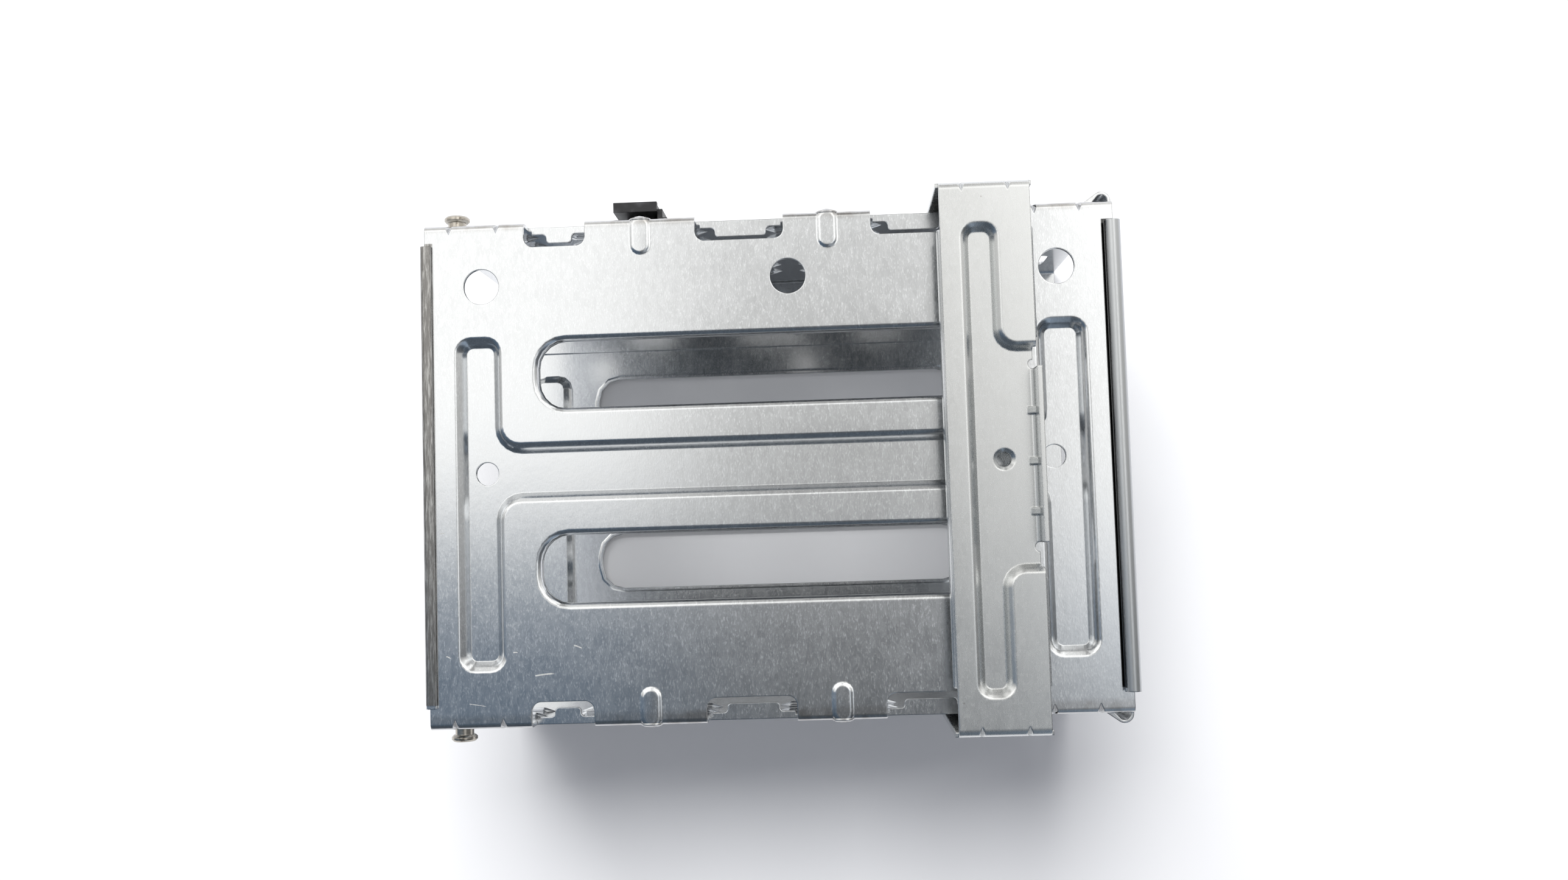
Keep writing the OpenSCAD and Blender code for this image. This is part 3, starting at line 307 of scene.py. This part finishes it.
def merged_copy(node, name, material):
    """A copy of a CAD node's mesh with its triangles joined, smooth where it bends gently."""
    made = bmesh.new()
    made.from_mesh(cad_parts[node].data)
    bmesh.ops.remove_doubles(made, verts=made.verts, dist=MERGE_DISTANCE)
    bmesh.ops.dissolve_limit(made, angle_limit=FLAT_ANGLE, verts=made.verts, edges=made.edges)
    for face in made.faces:
        face.smooth = True
    for edge in made.edges:
        edge.smooth = len(edge.link_faces) == 2 and edge.calc_face_angle() < SHARP_ANGLE
    data = bpy.data.meshes.new(name)
    made.to_mesh(data)
    made.free()
    data.materials.append(material)
    piece = bpy.data.objects.new(name, data)
    bpy.context.scene.collection.objects.link(piece)
    return piece


def weigh_normals(piece):
    """Keeps the flat faces flat where they run into a pressed slope."""
    weighted = piece.modifiers.new("flat_faces", "WEIGHTED_NORMAL")
    weighted.mode = "FACE_AREA_WITH_ANGLE"
    weighted.weight = FLAT_FACE_WEIGHT
    weighted.keep_sharp = True


def stretched(tree, place, stretch):
    """The places on a piece, scaled along each axis so that a pattern is drawn out."""
    return shader(tree, "ShaderNodeMapping", inputs={"Vector": place, "Scale": stretch}).outputs[0]


def noise(tree, place, scale, detail=2.0, roughness=0.5):
    """A cloudy pattern between 0 and 1 over a piece."""
    inputs = {"Vector": place, "Scale": scale, "Detail": detail, "Roughness": roughness}
    return shader(tree, "ShaderNodeTexNoise", inputs=inputs).outputs["Fac"]


def zinc_coat_group():
    """The zinc coat: clouds, pale flecks along Y and a fine grain, as colour, roughness and height."""
    group = bpy.data.node_groups.new("zinc_coat", "ShaderNodeTree")
    group.interface.new_socket("Coat Colour", in_out="INPUT", socket_type="NodeSocketColor")
    for name in ("Cloud", "Fleck", "Roughness"):
        group.interface.new_socket(name, in_out="INPUT", socket_type="NodeSocketFloat")
    group.interface.new_socket("Colour", in_out="OUTPUT", socket_type="NodeSocketColor")
    group.interface.new_socket("Roughness", in_out="OUTPUT", socket_type="NodeSocketFloat")
    group.interface.new_socket("Height", in_out="OUTPUT", socket_type="NodeSocketFloat")
    given = shader(group, "NodeGroupInput")
    place = shader(group, "ShaderNodeTexCoord").outputs["Object"]
    drawn = stretched(group, place, FLECK_STRETCH)
    fleck = noise(group, drawn, FLECK_SCALE, roughness=0.6)
    spangle = shader(group, "ShaderNodeTexVoronoi", inputs={"Vector": drawn, "Scale": SPANGLE_SCALE})
    crystal = shader(group, "ShaderNodeSeparateColor", inputs={0: spangle.outputs["Color"]})
    mottle = noise(group, place, MOTTLE_SCALE, detail=3.0)
    cloud = noise(group, place, CLOUD_SCALE, detail=5.0, roughness=0.6)
    grain = noise(group, drawn, GRAIN_SCALE)
    pale = ramp(group, fleck, *PALE_FLECK)
    bright = sums(group, "MULTIPLY_ADD", crystal.outputs[0], SPANGLE_SHARE, pale)
    bright = sums(group, "SUBTRACT", bright, FLECK_MEAN)
    cloud_part = sums(group, "SUBTRACT", cloud, CLOUD_MEAN)
    cloud_gain = sums(group, "MULTIPLY_ADD", cloud_part, given.outputs["Cloud"], 1.0)
    gain = sums(group, "MULTIPLY_ADD", bright, given.outputs["Fleck"], cloud_gain)
    colour = shader(group, "ShaderNodeVectorMath", {"operation": "SCALE"},
                    {0: given.outputs["Coat Colour"], "Scale": gain}).outputs[0]
    rough = sums(group, "MULTIPLY_ADD", bright, FLECK_ROUGHNESS, given.outputs["Roughness"])
    rough = sums(group, "MULTIPLY_ADD", cloud_part, CLOUD_ROUGHNESS, rough)
    height = sums(group, "MULTIPLY_ADD", grain, GRAIN_HEIGHT, fleck)
    height = sums(group, "MULTIPLY_ADD", mottle, MOTTLE_HEIGHT, height)
    shader(group, "NodeGroupOutput", inputs={"Colour": colour, "Roughness": rough, "Height": height})
    return group


def scratch_group():
    """One scratch on the top plate, as a mask. Start, Turn and Size place it."""
    group = bpy.data.node_groups.new("scratch", "ShaderNodeTree")
    for name in ("Start", "Turn", "Size"):
        group.interface.new_socket(name, in_out="INPUT", socket_type="NodeSocketVector")
    group.interface.new_socket("Mask", in_out="OUTPUT", socket_type="NodeSocketFloat")
    given = shader(group, "NodeGroupInput")
    place = shader(group, "ShaderNodeTexCoord").outputs["Object"]
    local = shader(group, "ShaderNodeMapping", {"vector_type": "TEXTURE"},
                   {"Vector": place, "Location": given.outputs["Start"],
                    "Rotation": given.outputs["Turn"], "Scale": given.outputs["Size"]})
    on_scratch = shader(group, "ShaderNodeSeparateXYZ", inputs={0: local.outputs[0]})
    along = on_scratch.outputs["X"]
    bow = product(group, along, along)
    across = sums(group, "MULTIPLY_ADD", bow, SCRATCH_BOW, on_scratch.outputs["Y"])
    line = ramp(group, sums(group, "ABSOLUTE", across), *SCRATCH_WIDTH)
    start = ramp(group, along, *SCRATCH_START)
    end = ramp(group, along, *SCRATCH_END)
    broken = ramp(group, noise(group, place, SCRATCH_GAP_SCALE), *SCRATCH_GAPS, *SCRATCH_GAP_SHARE)
    height = shader(group, "ShaderNodeSeparateXYZ", inputs={0: place}).outputs["Z"]
    mask = product(group, line, start, end, broken, ramp(group, height, *PLATE_Z))
    shader(group, "NodeGroupOutput", inputs={"Mask": mask})
    return group


def rounded_normal(tree, radius, height, depth):
    """The surface's normal with its sharp edges rounded and a fine relief laid over it."""
    soft = shader(tree, "ShaderNodeBevel", {"samples": EDGE_SAMPLES}, {"Radius": radius})
    relief = shader(tree, "ShaderNodeBump",
                    inputs={"Strength": 1.0, "Distance": depth, "Height": height, "Normal": soft.outputs[0]})
    return relief.outputs[0]


def finish_surface(tree, colour, roughness, metallic, normal):
    """Ends a material's node tree with its shader."""
    surface = shader(tree, "ShaderNodeBsdfPrincipled",
                     inputs={"Base Color": colour, "Roughness": roughness, "Metallic": metallic,
                             "Normal": normal})
    shader(tree, "ShaderNodeOutputMaterial", inputs={"Surface": surface.outputs[0]})


zinc_coat = zinc_coat_group()
scratch = scratch_group()
cage_metal = bare_material("galvanised_cage")
tree = cage_metal.node_tree
coat = shader(tree, "ShaderNodeGroup", {"node_tree": zinc_coat},
              {"Coat Colour": ZINC_COLOUR, "Cloud": 0.12, "Fleck": 0.14, "Roughness": 0.18})
place = shader(tree, "ShaderNodeTexCoord").outputs["Object"]
spot = shader(tree, "ShaderNodeSeparateXYZ", inputs={0: place})
along = spot.outputs["X"]
across = sums(tree, "ABSOLUTE", spot.outputs["Y"])
height = spot.outputs["Z"]

# Painted shade: both top bends are darkened in patches, the shade mixed with rubbed scuffs.
shade_and_scuff_patches = ramp(tree, noise(tree, place, SHADE_AND_SCUFF_SCALE, detail=6.0), *SHADE_AND_SCUFF_PATCHES, *SHADE_AND_SCUFF_SHARE)
bend_shade_and_scuff = product(tree, ramp(tree, across, *BEND_Y), ramp(tree, height, *BEND_Z), shade_and_scuff_patches)
colour = blend(tree, bend_shade_and_scuff, coat.outputs["Colour"], SCUFF_AND_SHADE_COLOUR)

smear = noise(tree, stretched(tree, place, SMEAR_STRETCH), SMEAR_SCALE, detail=6.0, roughness=0.7)
hem = product(tree, ramp(tree, along, *HEM_X), ramp(tree, height, *HEM_Z), ramp(tree, across, *HEM_Y))
hem_colour = blend(tree, ramp(tree, smear, *SMEAR_WORN), HEM_DIRT, HEM_WORN)
colour = blend(tree, hem, colour, hem_colour)

curl = product(tree, ramp(tree, along, *CURL_X), ramp(tree, height, *CURL_Z))
colour = blend(tree, curl, colour, CURL_COLOUR)
# Painted shade: the space under the curl and the curl's left flank are painted nearly black.
under_curl = product(tree, ramp(tree, along, *GAP_X), ramp(tree, along, *GAP_END_X),
                     ramp(tree, height, *GAP_TOP_Z))
flank = product(tree, ramp(tree, along, *FLANK_X), ramp(tree, along, *FLANK_END_X),
                ramp(tree, height, *FLANK_Z))
painted_gap_shade = product(tree, sums(tree, "MAXIMUM", under_curl, flank), ramp(tree, height, *GAP_Z),
              ramp(tree, across, *GAP_Y))
colour = blend(tree, painted_gap_shade, colour, GAP_PAINTED_SHADE)

marks = 0.0
for scratch_x, scratch_y, turn, length, width in SCRATCHES:
    mark = shader(tree, "ShaderNodeGroup", {"node_tree": scratch},
                  {"Start": (scratch_x, scratch_y, 0.0), "Turn": (0.0, 0.0, radians(turn)),
                   "Size": (length, width, 1.0)})
    marks = sums(tree, "MAXIMUM", marks, mark.outputs["Mask"])
colour = blend(tree, marks, colour, SCRATCH_COLOUR)

roughness = sums(tree, "MULTIPLY_ADD", hem, HEM_ROUGHNESS, coat.outputs["Roughness"])
roughness = sums(tree, "MULTIPLY_ADD", curl, CURL_ROUGHNESS, roughness)
roughness = sums(tree, "MULTIPLY_ADD", marks, SCRATCH_ROUGHNESS, roughness)
cage_relief = sums(tree, "MULTIPLY_ADD", product(tree, hem, smear), SMEAR_HEIGHT, coat.outputs["Height"])
normal = rounded_normal(tree, CAGE_EDGE_RADIUS, cage_relief, CAGE_RELIEF)
finish_surface(tree, colour, roughness, 1.0, normal)

cage = merged_copy("cage_shell", "cage", cage_metal)
weigh_normals(cage)
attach(cage, "root")
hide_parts("cage_shell")

# Cross bracket: 1.0 mm steel with a smoother and duller zinc coat, pressed and folded, then
# riveted to both walls through its feet.
BRACKET_COLOUR = (0.68, 0.69, 0.69, 1.0)
PIT_SCALE = 170.0
PIT_SIZE = (0.055, 0.02)
PIT_SHARE = 0.6
BRACKET_EDGE_RADIUS = 0.00045
BRACKET_RELIEF = 0.000001

bracket_metal = bare_material("galvanised_bracket")
tree = bracket_metal.node_tree
coat = shader(tree, "ShaderNodeGroup", {"node_tree": zinc_coat},
              {"Coat Colour": BRACKET_COLOUR, "Cloud": 0.05, "Fleck": 0.04, "Roughness": 0.26})
place = shader(tree, "ShaderNodeTexCoord").outputs["Object"]
pits = shader(tree, "ShaderNodeTexVoronoi", inputs={"Vector": place, "Scale": PIT_SCALE})
pit = ramp(tree, pits.outputs["Distance"], *PIT_SIZE, 0.0, PIT_SHARE)
colour = blend(tree, pit, coat.outputs["Colour"], SCUFF_AND_SHADE_COLOUR)
normal = rounded_normal(tree, BRACKET_EDGE_RADIUS, coat.outputs["Height"], BRACKET_RELIEF)
finish_surface(tree, colour, coat.outputs["Roughness"], 1.0, normal)

bracket = merged_copy("cross_bracket", "bracket", bracket_metal)
weigh_normals(bracket)
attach(bracket, "root")
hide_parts("cross_bracket")

# Studs and rivets: the studs are turned steel with a warm nickel plate, the rivets are plain steel.
# Their heads show fine tool rings, and a little grime lies over them in patches.
STUD_COLOUR = (0.50, 0.465, 0.41, 1.0)
STUD_ROUGHNESS = 0.14
RIVET_COLOUR = (0.58, 0.58, 0.57, 1.0)
RIVET_ROUGHNESS = 0.34
RING_STRETCH = (0.12, 1.0, 0.12)
RING_SCALE = 5200.0
RING_ROUGHNESS = 0.18
RING_RELIEF = 0.000006
TURNED_EDGE_RADIUS = 0.00025
GRIME_COLOUR = (0.16, 0.13, 0.10, 1.0)
GRIME_SCALE = 900.0
GRIME_THICK = (0.56, 0.74)
GRIME_SHARE = 0.7


def turned_metal(name, colour, roughness):
    """Turned metal with fine rings across the piece's length and a little grime."""
    metal = bare_material(name)
    tree = metal.node_tree
    place = shader(tree, "ShaderNodeTexCoord").outputs["Object"]
    rings = noise(tree, stretched(tree, place, RING_STRETCH), RING_SCALE, detail=3.0)
    grime = noise(tree, place, GRIME_SCALE, detail=4.0)
    shade = blend(tree, ramp(tree, grime, *GRIME_THICK, 0.0, GRIME_SHARE), colour, GRIME_COLOUR)
    rough = sums(tree, "MULTIPLY_ADD", rings, RING_ROUGHNESS, roughness)
    normal = rounded_normal(tree, TURNED_EDGE_RADIUS, rings, RING_RELIEF)
    finish_surface(tree, shade, rough, 1.0, normal)
    return metal


stud_metal = turned_metal("turned_stud", STUD_COLOUR, STUD_ROUGHNESS)
rivet_metal = turned_metal("plain_rivet", RIVET_COLOUR, RIVET_ROUGHNESS)
FASTENERS = (("stud_far", stud_metal, "studs"), ("stud_near", stud_metal, "studs"),
             ("rivet_far_left", rivet_metal, "rivets"), ("rivet_far_right", rivet_metal, "rivets"),
             ("rivet_near_left", rivet_metal, "rivets"), ("rivet_near_right", rivet_metal, "rivets"))
for node, metal, slot in FASTENERS:
    fastener = merged_copy(node, node + "_turned", metal)
    weigh_normals(fastener)
    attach(fastener, "root")
    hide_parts(node)

# Drive latch: one black plastic moulding that snaps into the windows of the far wall. It has a fine
# eroded grain and softly rounded edges, and it is a little polished where it is worn.
LATCH_COLOUR = (0.012, 0.012, 0.013, 1.0)
LATCH_WORN = (0.045, 0.045, 0.048, 1.0)
LATCH_ROUGHNESS = 0.50
LATCH_POLISH = -0.16
WEAR_SCALE = 320.0
WEAR_SHOWN = (0.48, 0.72)
ERODED_SCALE = 3800.0
ERODED_RELIEF = 0.000012
LATCH_EDGE_RADIUS = 0.0001
LATCH_CORNER = radians(40.0)

latch_plastic = bare_material("black_moulding")
tree = latch_plastic.node_tree
place = shader(tree, "ShaderNodeTexCoord").outputs["Object"]
eroded = noise(tree, place, ERODED_SCALE)
worn = noise(tree, place, WEAR_SCALE, detail=4.0)
shade = blend(tree, ramp(tree, worn, *WEAR_SHOWN), LATCH_COLOUR, LATCH_WORN)
rough = sums(tree, "MULTIPLY_ADD", worn, LATCH_POLISH, LATCH_ROUGHNESS)
normal = rounded_normal(tree, LATCH_EDGE_RADIUS, eroded, ERODED_RELIEF)
finish_surface(tree, shade, rough, 0.0, normal)

latch = merged_copy("drive_latch", "latch", latch_plastic)
rounded = latch.modifiers.new("rounded_edges", "BEVEL")
rounded.limit_method = "ANGLE"
rounded.angle_limit = LATCH_CORNER
rounded.width = LATCH_EDGE_RADIUS
rounded.segments = 2
weigh_normals(latch)
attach(latch, "root")
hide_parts("drive_latch")
